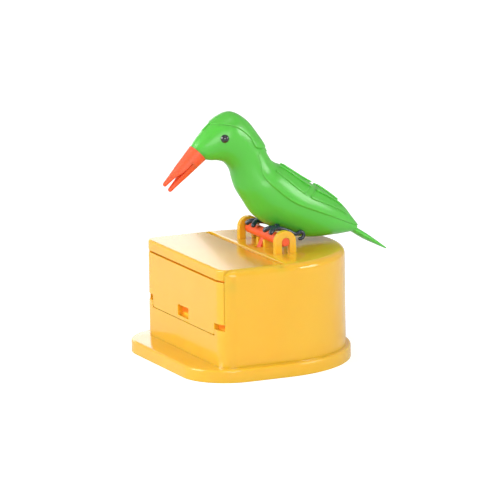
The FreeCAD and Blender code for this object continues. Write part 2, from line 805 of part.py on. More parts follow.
def make_foot(side):
    """A foot: a ball on the bar, two front toes, a leg into the belly, and a hind toe with a hooked claw."""
    label = "left" if side > 0 else "right"
    x = f"{side} * foot_spacing / 2"
    ball_z = "(perch_z + bar_radius + running_gap + foot_ball_radius)"
    ball = make("Sphere", "FootBall", Radius="foot_ball_radius")
    place(ball, x, "perch_y", ball_z)
    leg = make("Cylinder", "Leg", Radius="leg_radius", Height="leg_length")
    lean_in = Rotation(Vector(0, 1, 0), -side * size("leg_lean_in"))
    leg.Placement.Rotation = lean_in * Rotation(Vector(1, 0, 0), -size("leg_lean_back"))
    place(leg, x, "perch_y", ball_z)
    upright = Rotation(Vector(0, 1, 0), Vector(0, 0, 1), Vector(1, 0, 0), "XYZ")
    centre = ("(perch_y - hind_toe_arch * cos(hind_toe_start * 1 deg))",
              f"({ball_z} - hind_toe_arch * sin(hind_toe_start * 1 deg))")
    end = size("hind_toe_start") - size("hind_toe_wrap")
    hind = make("Torus", "HindToe", Radius1="hind_toe_arch", Radius2="hind_toe_radius", Angle3="hind_toe_wrap")
    hind.Placement.Rotation = Rotation(Vector(1, 0, 0), end) * upright
    place(hind, x, *centre)
    claw = make("Torus", "Claw", Radius1="claw_arch", Radius2="hind_toe_radius", Angle3="claw_wrap")
    claw.Placement.Rotation = Rotation(Vector(1, 0, 0), end + 180) * upright
    far = "(hind_toe_start - hind_toe_wrap) * 1 deg"
    place(claw, x, f"{centre[0]} + (hind_toe_arch + claw_arch) * cos({far})",
          f"{centre[1]} + (hind_toe_arch + claw_arch) * sin({far})")
    toes = make_toe(x, 1) + make_toe(x, -1)
    return keep(fuse("Foot" + label.title(), ball, leg, hind, claw, *toes), "foot_" + label)


def make_beak():
    """The forked beak: a cone with a slit that opens between two rounded prongs."""
    body = new_body("BeakForm")
    profile = outline(body, "BeakProfile", "XZ_Plane", [
        (("0", "0"),), (("beak_root_radius", "0"),),
        (("beak_tip_radius", "beak_length - beak_tip_rounding"),),
        (("beak_tip_radius - beak_tip_rounding", "beak_length"),), (("0", "beak_length"),),
    ])
    revolve(profile, "V_Axis")
    start = f"beak_length * {BEAK_SLIT_START_SHARE}"
    slit = outline(body, "BeakSlit", "YZ_Plane", [
        (("beak_slit_width / 2", start),), (("beak_fork_gap / 2", "beak_length + overrun"),),
        (("-beak_fork_gap / 2", "beak_length + overrun"),), (("-beak_slit_width / 2", start),),
    ])
    pocket(slit, "2 * beak_root_radius + overrun", midplane=True)
    root, tip = bird_point(*BEAK_ROOT_SHARES), bird_point(*BEAK_TIP_SHARES)
    body.Placement = Placement(root, Rotation(Vector(0, 0, 1), tip - root))
    return body


def make_bird():
    """Breast, back, head cap, tail, beak, eyes and feet, cut from one form so that they meet face to face."""
    form = shape_of("BirdForm", bird_form(0))
    crown = shape_of("CrownForm", bird_form(size("cap_step")))
    cap_region = shape_of("CapRegion", region(CAP_SEAM_SHARES))
    back_region = shape_of("BackRegion", region(BACK_SEAM_SHARES))
    back_only = cut("BackOnly", back_region, cap_region)
    feet = [make_foot(side) for side in (1, -1)]
    sockets = []
    for side, label in ((1, "left"), (-1, "right")):
        spot = bird_point(*EYE_SHARES)
        seam_inside = Rotation(Vector(0, 0, 1), 90 + 90 * side)
        seat = Placement(Vector(side * size("eye_spacing") / 2, spot.y, spot.z), seam_inside)
        eye = make("Sphere", "Eye" + label.title(), Radius="eye_radius")
        eye.Placement = seat
        keep(eye, "eye_" + label)
        socket = make("Sphere", "EyeSocket", Radius="eye_radius + running_gap")
        socket.Placement = seat
        sockets.append(socket)
    breast = cut("BreastForm", form, fuse("UpperRegion", cap_region, back_region))
    keep(cut("Breast", breast, fuse("Sockets", *feet, *sockets)), "bird_body")
    keep(common("BackCover", form, back_only), "back_cover")
    keep(common("HeadCap", crown, cap_region), "head_cap")
    blades = []
    for y, z, thick, width in TAIL_SECTION_SHARES:
        slope = bird_point(*TAIL_SECTION_SHARES[-1][:2]) - bird_point(*TAIL_SECTION_SHARES[0][:2])
        up = Vector(1, 0, 0).cross(slope).normalize() * (thick * size("bird_width"))
        blades.append(ring(bird_point(y, z), up, width * size("bird_width")))
    keep(cut("Tail", shape_of("TailForm", smooth_loft(blades)), form), "tail")
    keep(cut("Beak", make_beak(), form), "beak")


def check_and_write():
    """Stop on any failed object, then write each sub-part's file."""
    doc.recompute()
    for thing in doc.Objects:
        bad = {"Invalid", "Error"} & set(thing.State)
        assert not bad, f"{thing.Label}: {bad}"
    os.makedirs("parts", exist_ok=True)
    for thing in parts:
        shape = thing.Shape
        assert not shape.isNull() and shape.isValid(), f"{thing.Label} has no valid shape"
        shape.exportStep(f"parts/{thing.Label}.step")
        print(f"{thing.Label}: {len(shape.Solids)} solid(s), {shape.Volume:.1f} mm3")


fill_sheet()
make_base_plate()
make_base_screws()
make_box_shell()
make_hopper()
make_top_flap()
make_front_door()
make_perch_bar()
make_return_spring()
make_bird()
check_and_write()
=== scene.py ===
"""Toothpick dispenser: a yellow box on its base plate, and a green bird that rocks on a perch.

Lengths are metres in the part's own frame: +Z up, the beak towards -Y, X along the perch.
"""
import math

import bmesh
import bpy
import numpy as np
from mathutils import Matrix, Vector


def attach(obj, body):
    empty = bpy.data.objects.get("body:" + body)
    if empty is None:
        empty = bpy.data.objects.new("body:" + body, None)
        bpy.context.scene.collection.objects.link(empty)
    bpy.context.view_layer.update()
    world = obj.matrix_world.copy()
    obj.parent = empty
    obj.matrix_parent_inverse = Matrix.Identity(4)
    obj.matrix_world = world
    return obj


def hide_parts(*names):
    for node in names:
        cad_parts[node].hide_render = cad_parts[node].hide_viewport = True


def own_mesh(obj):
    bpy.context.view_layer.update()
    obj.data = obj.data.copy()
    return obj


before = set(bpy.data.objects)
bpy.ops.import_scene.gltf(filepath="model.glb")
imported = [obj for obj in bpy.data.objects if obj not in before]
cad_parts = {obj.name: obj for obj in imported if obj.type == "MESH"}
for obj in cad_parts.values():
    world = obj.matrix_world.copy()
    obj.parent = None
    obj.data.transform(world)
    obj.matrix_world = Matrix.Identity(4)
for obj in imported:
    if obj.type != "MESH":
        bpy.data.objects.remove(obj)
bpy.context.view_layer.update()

# Base plate: a flat yellow moulding, wider than the box, whose rear half is a semicircle.
# Injected in the same glossy plastic as the box and screwed to it from below.
MM = 0.001
YELLOW = (0.83, 0.49, 0.030)
YELLOW_DEEP = (0.80, 0.44, 0.022)
YELLOW_BLEED = (1.0, 0.60, 0.12)


class Wire:
    """A shader node's output, on which arithmetic adds Math nodes."""

    def __init__(self, finish, output):
        self.finish = finish
        self.output = output

    def math(self, operation, *values):
        return self.finish.node("Math", dict(enumerate(values)), operation=operation)

    def __radd__(self, other):
        return self.math("ADD", other, self)

    def __sub__(self, other):
        return self.math("SUBTRACT", self, other)

    def __mul__(self, other):
        return self.math("MULTIPLY", self, other)


class Finish:
    """A material that is built node by node."""

    def __init__(self, name):
        self.material = bpy.data.materials.new(name)
        self.material.use_nodes = True
        self.tree = self.material.node_tree
        self.tree.nodes.clear()

    def node(self, kind, inputs, output=0, **settings):
        """Any shader node: its settings, then each socket's value or link. Gives one output."""
        made = self.tree.nodes.new("ShaderNode" + kind)
        for name, value in settings.items():
            setattr(made, name, value)
        for name, value in inputs.items():
            if isinstance(value, Wire):
                self.tree.links.new(value.output, made.inputs[name])
            else:
                made.inputs[name].default_value = value
        return Wire(self, made.outputs[output]) if made.outputs else None

    def noise(self, scale, detail=2.0):
        """Noise over the object's own coordinates, about 0.5."""
        where = self.node("TexCoord", {}, output="Object")
        return self.node("TexNoise", {"Vector": where, "Scale": scale, "Detail": detail})

    def between(self, factor, low, high):
        """A colour between two, by a factor."""
        ends = {"Factor": factor, 6: (*low, 1), 7: (*high, 1)}
        return self.node("Mix", ends, output=2, data_type="RGBA")

    def surface(self, **inputs):
        """Ends the material with a principled shader."""
        named = {name.replace("_", " ").title(): value for name, value in inputs.items()}
        shader = self.node("BsdfPrincipled", named)
        self.node("OutputMaterial", {"Surface": shader})
        return self.material


# scales of the noise behind the flow marks, the gloss and the orange peel
FLOW_SCALE, GLOSS_SCALE, PEEL_SCALE = 55.0, 260.0, 900.0
PEEL_DEPTH, GLOSS_RANGE, COAT_ROUGHNESS = 0.2 * MM, 0.03, 0.08
BLEED_WEIGHT, BLEED_DEPTH = 0.45, 3.0 * MM
# colour of the painted glow, an emission in place of light let through the walls
PAINTED_GLOW_COLOUR = (0.90, 0.30, 0.03, 1)


def plastic(name, colour, deep, roughness, coat, grain=0.05, bleed=(0, 0, 0), glow=0.0):
    """Moulded plastic: flow marks, a slightly uneven gloss, a fine orange peel, and light bleed.

    The glow is painted light: an even emission that stands in for the light that reaches an inner
    piece through the translucent walls around it.
    """
    finish = Finish(name)
    flow = finish.noise(FLOW_SCALE, detail=3.0)
    fine = finish.noise(PEEL_SCALE)
    skin = finish.node("Bump", {"Height": fine, "Strength": grain, "Distance": PEEL_DEPTH})
    return finish.surface(
        base_color=finish.between(flow, deep, colour),
        roughness=roughness + (finish.noise(GLOSS_SCALE) - 0.5) * GLOSS_RANGE,
        coat_weight=coat,
        coat_roughness=COAT_ROUGHNESS,
        subsurface_weight=BLEED_WEIGHT if any(bleed) else 0.0,
        subsurface_radius=bleed,
        subsurface_scale=BLEED_DEPTH,
        emission_color=PAINTED_GLOW_COLOUR,
        emission_strength=glow,
        normal=skin,
    )


def show(mesh, node, body, material):
    """A mesh as the piece that takes a CAD node's place on its body."""
    mesh.materials.append(material)
    piece = bpy.data.objects.new("show_" + node, mesh)
    bpy.context.scene.collection.objects.link(piece)
    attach(piece, body)
    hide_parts(node)
    return piece


WELD, FLAT_ANGLE, SHARP_ANGLE = 0.002 * MM, math.radians(0.6), math.radians(32.0)
EDGE_ROUNDING = 0.15 * MM


def moulded_copy(node, body, material, rounding=EDGE_ROUNDING):
    """A CAD node's mesh as a smooth piece: flat faces merged, and sharp edges lightly rounded."""
    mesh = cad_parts[node].data.copy()
    work = bmesh.new()
    work.from_mesh(mesh)
    bmesh.ops.remove_doubles(work, verts=work.verts, dist=WELD)
    bmesh.ops.dissolve_limit(
        work, angle_limit=FLAT_ANGLE, verts=work.verts, edges=work.edges, delimit={"NORMAL"}
    )
    work.to_mesh(mesh)
    work.free()
    mesh.materials.clear()
    mesh.shade_smooth()
    mesh.set_sharp_from_angle(angle=SHARP_ANGLE)
    piece = show(mesh, node, body, material)
    if rounding:
        bevel = piece.modifiers.new("Rounding", "BEVEL")
        bevel.width = rounding
        bevel.segments = 2
        bevel.limit_method = "ANGLE"
        bevel.angle_limit = SHARP_ANGLE
        bevel.harden_normals = True
    return piece


yellow_gloss = plastic(
    "yellow_gloss", YELLOW, YELLOW_DEEP,
    roughness=0.17, coat=0.3, grain=0.01, bleed=YELLOW_BLEED,
)
moulded_copy("base_plate", "housing", yellow_gloss)

# Base screws: three pan-head steel screws in the base plate's recesses.
# Driven from below into the box's posts, and seen only from underneath.
STEEL = (0.56, 0.57, 0.60)
STEEL_WORN = (0.40, 0.41, 0.43)
MARK_SCALE, MARK_DEPTH, WEAR_SCALE = 1500.0, 0.1 * MM, 700.0


def steel(name):
    """Plated steel with fine turning marks."""
    finish = Finish(name)
    marks = finish.noise(MARK_SCALE, 4.0)
    return finish.surface(
        base_color=finish.between(marks, STEEL_WORN, STEEL),
        metallic=1.0,
        roughness=0.26 + finish.noise(WEAR_SCALE) * 0.18,
        normal=finish.node("Bump", {"Height": marks, "Strength": 0.08, "Distance": MARK_DEPTH}),
    )


plated = steel("plated_steel")
moulded_copy("base_screws", "housing", plated)

# Box shell: walls, deck, perch ears and saddles in one yellow moulding.
# It stands on the base plate's rim, and its front and the space over the hopper are open.
moulded_copy("box_shell", "housing", yellow_gloss)

# Hopper: the yellow slope that the toothpicks roll down, closed in by the shell.
# Moulded by itself and dropped in before the base plate is screwed on.
# Its glow is painted light: an orange emission in place of the light that comes through the
# shell's walls.
yellow_inner_painted_glow = plastic(
    "yellow_inner_painted_glow", YELLOW, YELLOW_DEEP,
    roughness=0.30, coat=0.0, bleed=YELLOW_BLEED, glow=0.55,
)
moulded_copy("hopper", "housing", yellow_inner_painted_glow)

# Top flap: the polished lid over the hopper, with a lip in front and a knuckle behind.
# It snaps into the side walls on two stub pins, and mirrors the bright room behind it.
moulded_copy("top_flap", "flap", yellow_gloss)

# Front door: the leaf with the window and the tongue, hung on two stub pins.
# The same yellow moulding as the shell, flush with its front.
moulded_copy("front_door", "door", yellow_gloss)

# Perch bar: an orange-red bar with a lever under its middle, which turns in the two ears.
# Moulded in one, and pressed into the ears' arches from below.
ORANGE = (0.90, 0.125, 0.030)
ORANGE_DEEP = (0.82, 0.095, 0.022)
ORANGE_BLEED = (1.0, 0.25, 0.08)
orange_soft = plastic(
    "orange_soft", ORANGE, ORANGE_DEEP, roughness=0.36, coat=0.1, bleed=ORANGE_BLEED
)
moulded_copy("perch_bar", "bird", orange_soft)

# Return spring: the steel spring under the deck, between the lever and a rib.
# Closed in by the box, it is a plain tube of the coil's size, with a mesh of its own.
spring = moulded_copy("return_spring", "housing", plated, rounding=0)
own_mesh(spring)

# Bird's breast: the green body from the beak's seat over the breast and belly to the rump.
# One glossy moulding, which also runs on under the back cover and the head cap and carries them.
GREEN = (0.105, 0.58, 0.058)
GREEN_DEEP = (0.085, 0.51, 0.042)
GREEN_BLEED = (0.3, 1.0, 0.2)
BIRD_LENGTH, BIRD_HEIGHT, BIRD_WIDTH = 64.5 * MM, 45.5 * MM, 21.0 * MM
BIRD_SEAT_Y, PERCH_Z = -22.0 * MM, 43.5 * MM
# sections from the beak's seat to the rump: top point, bottom point and half width
# along Y as shares of the bird's length, along Z of its height above the perch,
# and across as shares of its width
SECTION_SHARES = np.array([
    (0.005, 0.752, 0.080, 0.642, 0.160),
    (0.040, 0.815, 0.112, 0.632, 0.215),
    (0.099, 0.897, 0.155, 0.626, 0.275),
    (0.165, 0.965, 0.192, 0.608, 0.320),
    (0.245, 0.990, 0.222, 0.568, 0.335),
    (0.338, 0.905, 0.242, 0.515, 0.325),
    (0.411, 0.750, 0.252, 0.450, 0.325),
    (0.474, 0.587, 0.272, 0.375, 0.370),
    (0.545, 0.530, 0.310, 0.288, 0.430),
    (0.655, 0.425, 0.376, 0.155, 0.480),
    (0.772, 0.322, 0.492, 0.042, 0.480),
    (0.885, 0.195, 0.655, -0.045, 0.400),
    (0.955, 0.072, 0.830, -0.056, 0.240),
    (0.995, -0.002, 0.970, -0.046, 0.110),
])


def run_through(rows, places):
    """A smooth run through the rows, with a cubic between each two.

    Its slope at a row is half the step from the row before to the row after.
    """
    rows = np.asarray(rows, float)
    padded = np.vstack([2 * rows[0] - rows[1], rows, 2 * rows[-1] - rows[-2]])
    start = np.clip(places.astype(int), 0, len(rows) - 2)
    share = (places - start)[:, None]
    before, here, there, after = (padded[start + step] for step in range(4))
    return 0.5 * (
        2 * here
        + (there - before) * share
        + (2 * before - 5 * here + 4 * there - after) * share**2
        + (3 * here - before - 3 * there + after) * share**3
    )


def in_profile(shares):
    """Shares of the bird's length and height as places along Y and Z."""
    along_y = BIRD_SEAT_Y + shares[:, 0] * BIRD_LENGTH
    along_z = PERCH_Z + shares[:, 1] * BIRD_HEIGHT
    return np.stack([along_y, along_z], 1)


def bird_sections(places):
    """Each place's section: its middle, the vector from there to its top, and its half width."""
    shares = run_through(SECTION_SHARES, places)
    top, low = in_profile(shares[:, 0:2]), in_profile(shares[:, 2:4])
    return (top + low) / 2, (top - low) / 2, shares[:, 4] * BIRD_WIDTH


def bird_points(places, angles, lift):
    """The bird's skin as ellipses, one at each place.

    A point lies the sine of its angle times the half width across, and the cosine times the upward
    vector from the middle. Its lift then moves it off the skin, along the ellipse's normal.
    """
    middle, up, half = bird_sections(places)
    across, along = np.sin(angles), np.cos(angles)
    skin = np.stack([
        half[:, None] * across,
        middle[:, :1] + up[:, :1] * along,
        middle[:, 1:] + up[:, 1:] * along,
    ], axis=-1)
    reach = np.hypot(up[:, 0], up[:, 1])[:, None]
    out = np.stack([
        across / half[:, None],
        up[:, :1] / reach * along / reach,
        up[:, 1:] / reach * along / reach,
    ], axis=-1)
    out /= np.maximum(np.linalg.norm(out, axis=-1, keepdims=True), 1e-12)
    return skin + out * lift[..., None]


def grid_mesh(name, points, round_columns=False, poles=()):
    """A mesh over a grid of points.

    Its columns can close to a ring, and a pole closes the first or the last row.
    """
    rows, columns = points.shape[:2]
    ids = np.arange(rows * columns).reshape(rows, columns)
    right = np.roll(ids, -1, axis=1) if round_columns else ids[:, 1:]
    left = ids if round_columns else ids[:, :-1]
    corners = np.stack([left[:-1], left[1:], right[1:], right[:-1]], axis=-1)
    faces = corners.reshape(-1, 4).tolist()
    vertices = points.reshape(-1, 3).tolist()
    for row in poles:
        vertices.append(points[row].mean(axis=0).tolist())
        tip = len(vertices) - 1
        turned = zip(ids[row], np.roll(ids[row], -1))
        faces += [(a, b, tip) if row == 0 else (b, a, tip) for a, b in turned]
    mesh = bpy.data.meshes.new(name)
    mesh.from_pydata(vertices, [], faces)
    mesh.validate()
    work = bmesh.new()
    work.from_mesh(mesh)
    bmesh.ops.remove_doubles(work, verts=work.verts, dist=WELD)
    bmesh.ops.recalc_face_normals(work, faces=work.faces)
    work.to_mesh(mesh)
    work.free()
    mesh.shade_smooth()
    return mesh


LAST_SECTION = len(SECTION_SHARES) - 1
BREAST_ROWS, BREAST_COLUMNS = 210, 160
green_gloss = plastic(
    "green_gloss", GREEN, GREEN_DEEP, roughness=0.32, coat=0.2, bleed=GREEN_BLEED
)
breast_places = np.linspace(0, LAST_SECTION, BREAST_ROWS)
breast_turn = np.linspace(0, 2 * math.pi, BREAST_COLUMNS, endpoint=False)
breast_angles = np.tile(breast_turn, (BREAST_ROWS, 1))
breast = bird_points(breast_places, breast_angles, np.zeros_like(breast_angles))
breast_mesh = grid_mesh("bird_body", breast, round_columns=True, poles=(0, -1))
show(breast_mesh, "bird_body", "bird", green_gloss)

# Back cover: the upper half of the body with the folded wings, a green moulding on the breast.
# The wing's edge stands proud as a smooth band. Above it raised ribs part two rows of feathers.
BACK_SEAM_SHARES = np.array([
    (0.352, 0.714), (0.369, 0.582), (0.380, 0.488), (0.448, 0.378),
    (0.553, 0.259), (0.719, 0.158), (0.884, 0.059), (1.020, -0.020),
])
NAPE_PLACE, SEAM_STEPS = 6.0, 800
BACK_ROWS, BACK_COLUMNS, UNDER_COLUMNS = 190, 181, 59
# heights over the bird's skin, and depths under it
NECK_STAND, WING_STAND = 0.18 * MM, 0.50 * MM
FIELD_SINK, GAP_SINK, EDGE_SINK, UNDER_SINK = 0.20 * MM, 0.55 * MM, 0.10 * MM, 0.60 * MM
# places along the bird: the wing's rise and slant, and the feather field's two ends
WING_RISE, WING_FULL, WING_SLANT = 7.05, 7.30, 0.8
FIELD_START, FIELD_END = (7.10, 7.35), (10.6, 11.6)
FIELD_INNER, FIELD_OUTER, BACK_EDGE_SHARE = 0.02, 0.01, 0.95
# the gap between the two rows of feathers: its place, slant, and half widths at floor and rim
ROW_END, ROW_SLANT, ROW_SHARE = 9.50, 0.26, 0.40
GAP_FLOOR, GAP_RIM = 0.08, 0.20
RIB_RADIUS, RIB_TAPER, RIB_LIFT, RIB_ROWS, RIB_ROUND = 0.42 * MM, 0.7, 0.05 * MM, 60, 12
RIB_BEFORE_GAP, RIB_AFTER_GAP, RIB_OVERRUN = 0.10, 0.14, 0.25
# each feather rib: places along the bird, and shares of the way from the ridge to the wing's edge
FEATHER_RIBS = [
    ((7.35, 8.55, 9.43, 9.85, 11.2), (0.56, 0.63, 0.68, 0.70, 0.62)),
    ((7.55, 8.60, 9.28, 9.60, 10.8), (0.30, 0.33, 0.38, 0.41, 0.36)),
    ((7.90, 8.85, 9.58, 10.33, 10.6), (0.06, 0.07, 0.08, 0.09, 0.09)),
]


def step_up(values, start, end):
    """A smooth rise from 0 to 1 between two values."""
    share = np.clip((values - start) / (end - start), 0, 1)
    return share * share * (3 - 2 * share)


def seam_angles(seam_shares, places):
    """The angle from each section's top at which the seam crosses that section.

    It is the arc cosine of the crossing's share of the way from the section's middle to its top.
    """
    seam_places = np.linspace(0, len(seam_shares) - 1, SEAM_STEPS)
    seam = in_profile(run_through(seam_shares, seam_places))
    middle, up, _ = bird_sections(places)
    from_middle = seam[None] - middle[:, None]
    off_line = from_middle[..., 0] * up[:, 1:] - from_middle[..., 1] * up[:, :1]
    nearest = np.argmin(np.abs(off_line), axis=1)
    crossing = from_middle[np.arange(len(places)), nearest]
    share = np.sum(crossing * up, axis=1) / np.sum(up * up, axis=1)
    return np.arccos(np.clip(share, -1, 1))


# a direction that no bar runs along
OFF_BAR = (0.35, -0.10, 0.93)


def bar(run, thick_start, thick_end, around):
    """A round bar along a run: circles across it, with a half round at each end.

    The radius changes evenly from the start to the end, by the way travelled.
    """
    along = np.gradient(run, axis=0)
    along /= np.linalg.norm(along, axis=1, keepdims=True)
    side = np.cross(along, OFF_BAR)
    side /= np.linalg.norm(side, axis=1, keepdims=True)
    over = np.cross(along, side)
    travel = np.concatenate([[0], np.cumsum(np.linalg.norm(np.diff(run, axis=0), axis=1))])
    thick = thick_start + (thick_end - thick_start) * travel / travel[-1]
    to_end = np.minimum(travel, travel[-1] - travel) / thick
    thick = thick * np.sqrt(1 - (1 - np.clip(to_end, 0.01, 1)) ** 2)
    turn = np.linspace(0, 2 * math.pi, around, endpoint=False)[None, :, None]
    ring = side[:, None] * np.cos(turn) + over[:, None] * np.sin(turn)
    points = run[:, None] + thick[:, None, None] * ring
    return grid_mesh("bar", points, round_columns=True, poles=(0, -1))


def joined(name, meshes):
    """One mesh of several, each closed in itself."""
    work = bmesh.new()
    for mesh in meshes:
        work.from_mesh(mesh)
    whole = bpy.data.meshes.new(name)
    work.to_mesh(whole)
    work.free()
    whole.shade_smooth()
    return whole


def row_end_at(share):
    """The place along the bird of the gap between the two rows of feathers, which runs aslant."""
    return ROW_END - ROW_SLANT * (share - ROW_SHARE)


def feather_rib(line, first, last, side):
    """A rib as a round bar half sunk in the wing, along part of its line."""
    places = np.linspace(first, last, RIB_ROWS)
    angles = side * seam_angles(BACK_SEAM_SHARES, places) * np.interp(places, *line)
    lift = np.full((RIB_ROWS, 1), WING_STAND + RIB_LIFT)
    run = bird_points(places, angles[:, None], lift)[:, 0]
    return bar(run, RIB_RADIUS, RIB_TAPER * RIB_RADIUS, RIB_ROUND)


def back_skin():
    """The back cover as a closed ring of columns: its outer skin, then the skin under it.

    The outer skin stands over the bird's skin by a height that rises from the neck's to the wing's
    and falls under the skin at the seam. Inside the lowest rib's line it is sunk by the field's
    depth, and at the gap between the two rows of feathers by the gap's depth more.
    """
    places = np.linspace(NAPE_PLACE, LAST_SECTION, BACK_ROWS)
    edge = seam_angles(BACK_SEAM_SHARES, places)[:, None]
    outer_shares = np.linspace(-1, 1, BACK_COLUMNS)
    place, share = np.meshgrid(places, np.abs(outer_shares), indexing="ij")
    rows = step_up(place, *FIELD_START) * (1 - step_up(place, *FIELD_END))
    lowest = np.interp(place, *FEATHER_RIBS[0])
    field = rows * (1 - step_up(share, lowest - FIELD_INNER, lowest + FIELD_OUTER))
    end = row_end_at(share)
    before_end = step_up(place, end - GAP_RIM, end - GAP_FLOOR)
    gap = before_end * (1 - step_up(place, end + GAP_FLOOR, end + GAP_RIM))
    wing = step_up(place, WING_RISE - WING_SLANT * share, WING_FULL)
    stand = NECK_STAND + (WING_STAND - NECK_STAND) * wing
    lift = -EDGE_SINK + (EDGE_SINK + stand) * (1 - step_up(share, BACK_EDGE_SHARE, 1.0))
    lift -= (FIELD_SINK + GAP_SINK * gap) * field
    under_shares = np.linspace(1, -1, UNDER_COLUMNS + 2)[1:-1]
    under_lift = np.full((BACK_ROWS, UNDER_COLUMNS), -UNDER_SINK)
    return np.concatenate([
        bird_points(places, edge * outer_shares, lift),
        bird_points(places, edge * under_shares, under_lift),
    ], axis=1)


back_meshes = [grid_mesh("back_cover", back_skin(), round_columns=True, poles=(0, -1))]
for line in FEATHER_RIBS:
    rib_places, rib_shares = line
    rib_gap = row_end_at(rib_shares[2])
    for side in (1, -1):
        back_meshes += [
            feather_rib(line, rib_places[0], rib_gap - RIB_BEFORE_GAP, side),
            feather_rib(line, rib_gap + RIB_AFTER_GAP, rib_places[-1] + RIB_OVERRUN, side),
        ]
show(joined("back_cover", back_meshes), "back_cover", "bird", green_gloss)

# Head cap: the green shell from the forehead over the crown to the nape, moulded by itself.
# It is fixed over the breast's head, and overlaps the face and the neck by a small step.
CAP_SEAM_SHARES = np.array([
    (0.020, 0.872), (0.085, 0.912), (0.163, 0.916), (0.225, 0.895),
    (0.271, 0.855), (0.318, 0.791), (0.352, 0.714), (0.450, 0.690),
])
CAP_STEP, CAP_WALL, CAP_EDGE_SHARE = 0.45 * MM, 0.5 * MM, 0.94
# places along the bird: the cap's two ends, and those between which its step doubles
CAP_START, CAP_END, CAP_RISE = 1.6, 6.6, (5.2, 6.2)
CAP_ROWS, CAP_COLUMNS = 150, 120
cap_places = np.linspace(CAP_START, CAP_END, CAP_ROWS)
cap_edge = seam_angles(CAP_SEAM_SHARES, cap_places)
cap_shares = np.linspace(-1, 1, CAP_COLUMNS)
cap_fall = 1 - step_up(np.abs(cap_shares), CAP_EDGE_SHARE, 1.0)[None]
cap_stand = CAP_STEP * (1 + step_up(cap_places, *CAP_RISE))[:, None]
cap_lift = -EDGE_SINK + (EDGE_SINK + cap_stand) * cap_fall
cap = bird_points(cap_places, cap_edge[:, None] * cap_shares[None], cap_lift)
head_cap = show(grid_mesh("head_cap", cap), "head_cap", "bird", green_gloss)
cap_wall = head_cap.modifiers.new("Wall", "SOLIDIFY")
cap_wall.thickness, cap_wall.offset = CAP_WALL, -1.0

# Tail: a flat green blade that leaves the rump and narrows to a point.
# Taken as a thin moulding of its own in the rump, with three shallow grooves along each face.
TAIL_ROWS, TAIL_COLUMNS, TAIL_WAVES, TAIL_GROOVE = 60, 96, 8, 0.10
# the tail's middle in the profile, and half its thickness and width as shares of the bird's width
TAIL_SHARES = np.array([
    (0.955, -0.015, 0.055, 0.110),
    (1.045, -0.098, 0.054, 0.145),
    (1.115, -0.160, 0.034, 0.110),
    (1.174, -0.212, 0.012, 0.042),
])
tail_rows = run_through(TAIL_SHARES, np.linspace(0, len(TAIL_SHARES) - 1, TAIL_ROWS))
tail_middle = in_profile(tail_rows[:, :2])
tail_along = np.gradient(tail_middle, axis=0)
tail_along /= np.linalg.norm(tail_along, axis=1, keepdims=True)
tail_up = np.stack([-tail_along[:, 1], tail_along[:, 0]], 1)
tail_angles = np.linspace(0, 2 * math.pi, TAIL_COLUMNS, endpoint=False)
tail_groove = 1 - TAIL_GROOVE * np.maximum(np.cos(tail_angles * TAIL_WAVES), 0) ** 4
tail_thick = (tail_rows[:, 2] * BIRD_WIDTH)[:, None] * np.cos(tail_angles) * tail_groove
tail_wide = (tail_rows[:, 3] * BIRD_WIDTH)[:, None] * np.sin(tail_angles)
tail = np.stack([
    tail_wide,
    tail_middle[:, :1] + tail_up[:, :1] * tail_thick,
    tail_middle[:, 1:] + tail_up[:, 1:] * tail_thick,
], axis=-1)
tail_mesh = grid_mesh("tail", tail, round_columns=True, poles=(0, -1))
show(tail_mesh, "tail", "bird", green_gloss)

# Beak: the orange-red forked cone that picks a toothpick out of the window.
# Moulded by itself and pressed into the face. A groove along it opens into two rounded prongs.
BEAK_ROOT, BEAK_TIP = in_profile(np.array([(0.042, 0.697), (-0.150, 0.442)]))
BEAK_LENGTH, BEAK_ROOT_RADIUS, BEAK_TIP_RADIUS = 17.0 * MM, 3.65 * MM, 2.15 * MM
GROOVE, FORK, FLAT_COSINE = 0.16 * MM, 1.30 * MM, -0.01
# shares of the beak's length: the groove's start, the fork's start and length, the rounding
GROOVE_START_SHARE, FORK_START_SHARE, FORK_SHARE = 0.27, 0.60, 0.36
ROUND_START_SHARE, ROUND_END_SHARE = 0.45, 0.85
SEAT_ROWS, SEAT_COLUMNS, PRONG_ROWS, DOME_ROWS, PRONG_COLUMNS = 24, 72, 80, 16, 64
BEAK_SHARP_ANGLE = math.radians(50)
orange_beak = plastic(
    "orange_beak", ORANGE, ORANGE_DEEP, roughness=0.48, coat=0.0, bleed=ORANGE_BLEED
)


def beak_points(shares, wide, deep):
    """Points at shares of the beak's length: wide along X, and deep across the fork."""
    along = (BEAK_TIP - BEAK_ROOT) / np.linalg.norm(BEAK_TIP - BEAK_ROOT)
    middle = BEAK_ROOT + shares[:, None] * BEAK_LENGTH * along
    across_y = middle[:, :1] - deep * along[1]
    across_z = middle[:, 1:] + deep * along[0]
    return np.stack([wide, across_y, across_z], axis=-1)


def beak_radius(shares):
    """The cone's radius at shares of its length."""
    return (BEAK_ROOT_RADIUS + (BEAK_TIP_RADIUS - BEAK_ROOT_RADIUS) * shares)[:, None]


